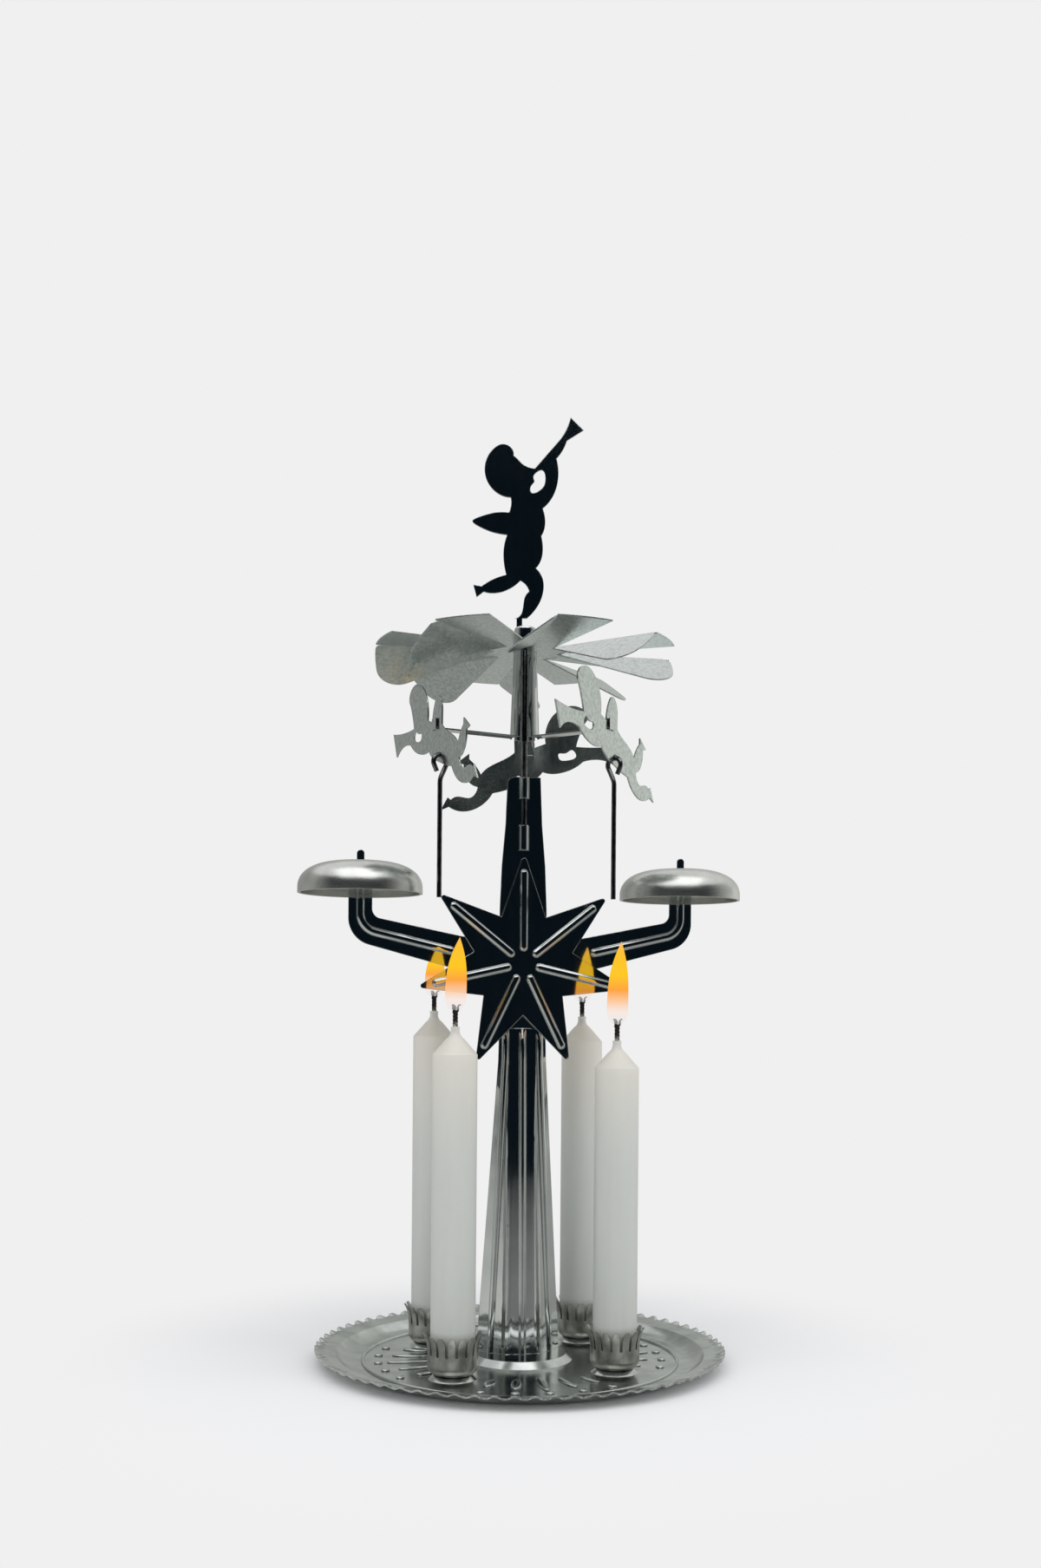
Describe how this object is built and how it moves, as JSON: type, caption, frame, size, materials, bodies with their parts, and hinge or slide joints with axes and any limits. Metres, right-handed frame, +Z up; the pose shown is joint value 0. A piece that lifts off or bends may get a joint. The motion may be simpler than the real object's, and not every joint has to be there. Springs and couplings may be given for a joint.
{
  "type": "angel chime carousel",
  "caption": "Candle-driven chime: warm air turns a bladed fan on a needle, and wire strikers hung from flat flying figures ring bells on a column above a drip tray.",
  "frame": {"origin": "centre of the tray's underside, on the table", "axes": "+Z up along the needle, -Y to the front where the star is, +X to the right-hand bell"},
  "size_m": [0.1408, 0.128, 0.2963],
  "materials": {
    "tinplate": "bright tinplate, lightly worn",
    "bright_sheet": "mirror-bright plated sheet",
    "satin_sheet": "satin plated sheet",
    "bell_metal": "satin nickel plate",
    "steel_wire": "drawn bright wire",
    "wax": "white candle wax, slightly translucent",
    "wick": "charred braided cotton"
  },
  "bodies": {
    "stand": {"tray": "tinplate", "column": "bright_sheet", "needle": "steel_wire", "star": "bright_sheet", "crossbar": "bright_sheet", "cup_front_left": "tinplate", "cup_front_right": "tinplate", "cup_back_left": "tinplate", "cup_back_right": "tinplate"},
    "carousel": {"carrier": "satin_sheet", "fan": "satin_sheet", "top_figure": "bright_sheet", "flying_figure_1": "satin_sheet", "flying_figure_2": "satin_sheet", "flying_figure_3": "satin_sheet"},
    "striker_1": {"striker_1": "steel_wire"},
    "striker_2": {"striker_2": "steel_wire"},
    "striker_3": {"striker_3": "steel_wire"},
    "bell_left": {"bell_left": "bell_metal"},
    "bell_right": {"bell_right": "bell_metal"},
    "candle_front_left": {"candle_front_left": "wax", "wick_front_left": "wick"},
    "candle_front_right": {"candle_front_right": "wax", "wick_front_right": "wick"},
    "candle_back_left": {"candle_back_left": "wax", "wick_back_left": "wick"},
    "candle_back_right": {"candle_back_right": "wax", "wick_back_right": "wick"}
  },
  "joints": [
    {"name": "carousel_spin", "type": "hinge", "parent": "stand", "child": "carousel", "pos_m": [0, 0, 0.2], "axis": [0, 0, 1], "continuous": true},
    {"name": "striker_1_swing", "type": "hinge", "parent": "carousel", "child": "striker_1", "pos_m": [-0.02837, -0.01159, 0.18485], "axis": [-0.2857, 0.9583, 0], "range_deg": [-25, 12]},
    {"name": "striker_2_swing", "type": "hinge", "parent": "carousel", "child": "striker_2", "pos_m": [0.02422, -0.01878, 0.18485], "axis": [-0.6871, -0.7266, 0], "range_deg": [-25, 12]},
    {"name": "striker_3_swing", "type": "hinge", "parent": "carousel", "child": "striker_3", "pos_m": [0.00415, 0.03037, 0.18485], "axis": [0.9728, -0.2317, 0], "range_deg": [-25, 12]},
    {"name": "bell_left_spin", "type": "hinge", "parent": "stand", "child": "bell_left", "pos_m": [-0.0512, 0, 0.155], "axis": [0, 0, 1], "continuous": true},
    {"name": "bell_right_spin", "type": "hinge", "parent": "stand", "child": "bell_right", "pos_m": [0.0512, 0, 0.155], "axis": [0, 0, 1], "continuous": true},
    {"name": "candle_front_left_lift", "type": "slide", "parent": "stand", "child": "candle_front_left", "axis": [0, 0, 1], "range_m": [0, 0.025]},
    {"name": "candle_front_right_lift", "type": "slide", "parent": "stand", "child": "candle_front_right", "axis": [0, 0, 1], "range_m": [0, 0.025]},
    {"name": "candle_back_left_lift", "type": "slide", "parent": "stand", "child": "candle_back_left", "axis": [0, 0, 1], "range_m": [0, 0.025]},
    {"name": "candle_back_right_lift", "type": "slide", "parent": "stand", "child": "candle_back_right", "axis": [0, 0, 1], "range_m": [0, 0.025]}
  ]
}
